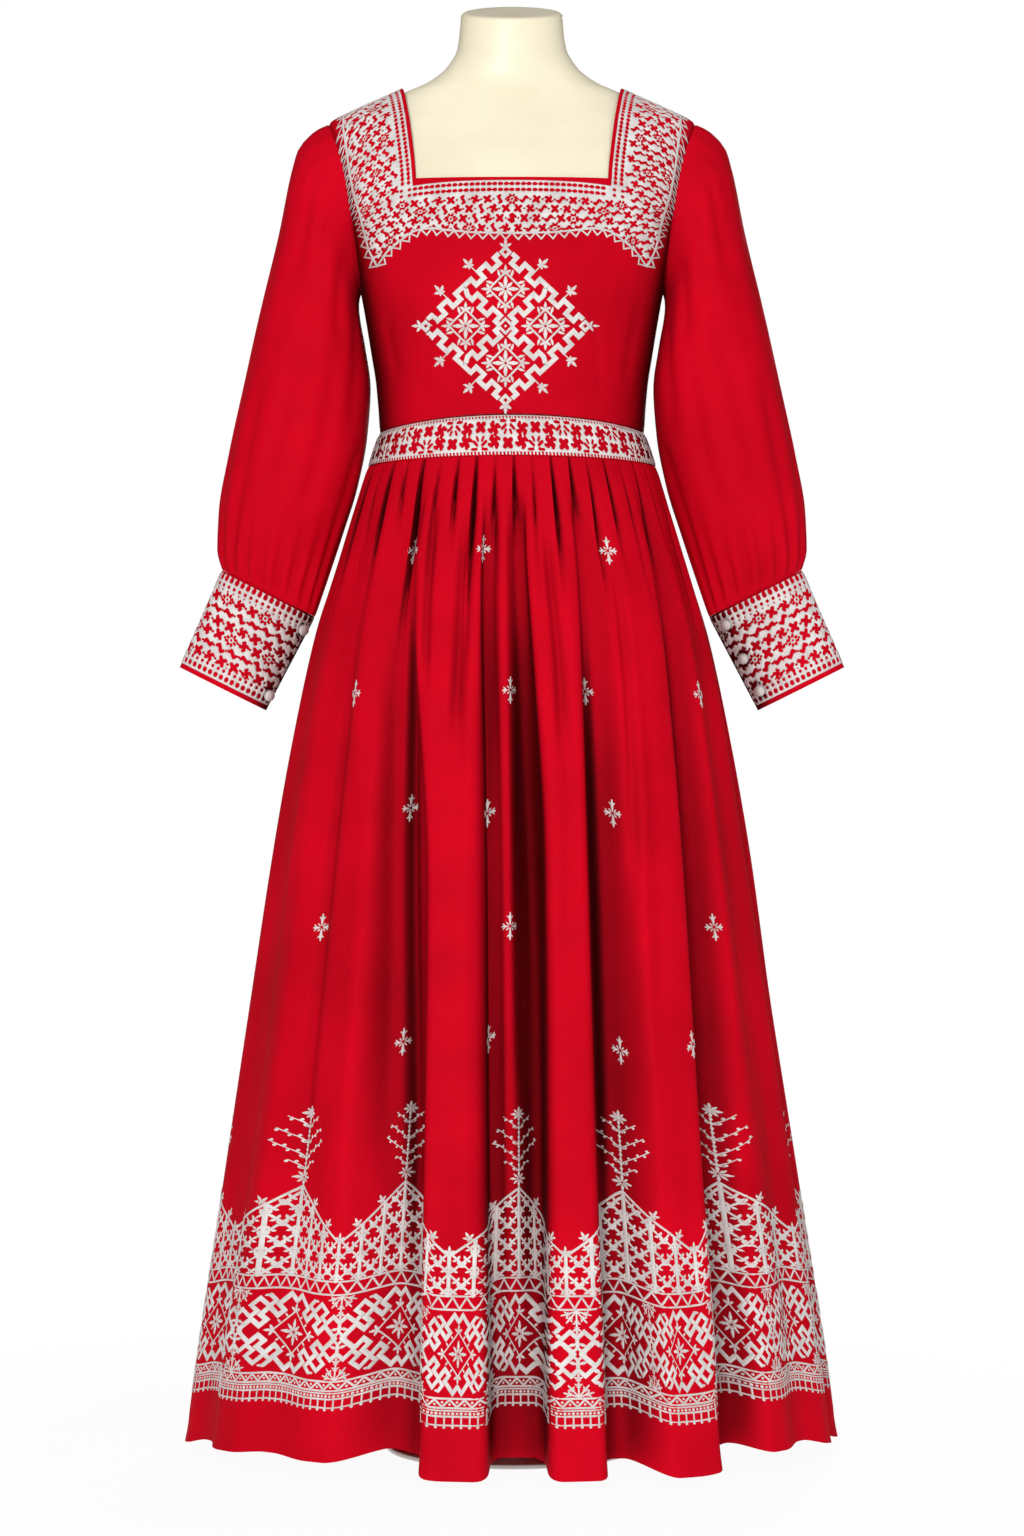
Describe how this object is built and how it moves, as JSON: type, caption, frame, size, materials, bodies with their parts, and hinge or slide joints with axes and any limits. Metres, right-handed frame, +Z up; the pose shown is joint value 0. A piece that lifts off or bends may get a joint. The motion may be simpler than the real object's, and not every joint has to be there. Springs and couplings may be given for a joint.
{
  "type": "embroidered dress on a dress form",
  "caption": "Floor-length red maxi dress with a square neck, full cuffed sleeves, waistband and pleated skirt, with white thread embroidery, standing on a limbless dress form.",
  "frame": {"origin": "centre of the stand base underside, on the floor", "axes": "+Z up, the dress faces -Y, +X to the right as seen from the front"},
  "size_m": [0.692, 0.5294, 1.5091],
  "materials": {
    "dress_cloth": "matt woven cloth",
    "white_thread": "satin thread",
    "form_skin": "smooth satin gloss",
    "stand_paint": "satin paint"
  },
  "bodies": {
    "root": {"form_torso": "form_skin", "form_pole": "stand_paint", "form_base": "stand_paint", "bodice_front": "dress_cloth", "bodice_back": "dress_cloth", "waistband": "dress_cloth", "skirt_front": "dress_cloth", "skirt_back": "dress_cloth", "sleeve_left": "dress_cloth", "sleeve_right": "dress_cloth", "cuff_left": "dress_cloth", "cuff_right": "dress_cloth", "button_left_1": "white_thread", "button_left_2": "white_thread", "button_right_1": "white_thread", "button_right_2": "white_thread", "button_right_3": "white_thread"}
  },
  "joints": []
}
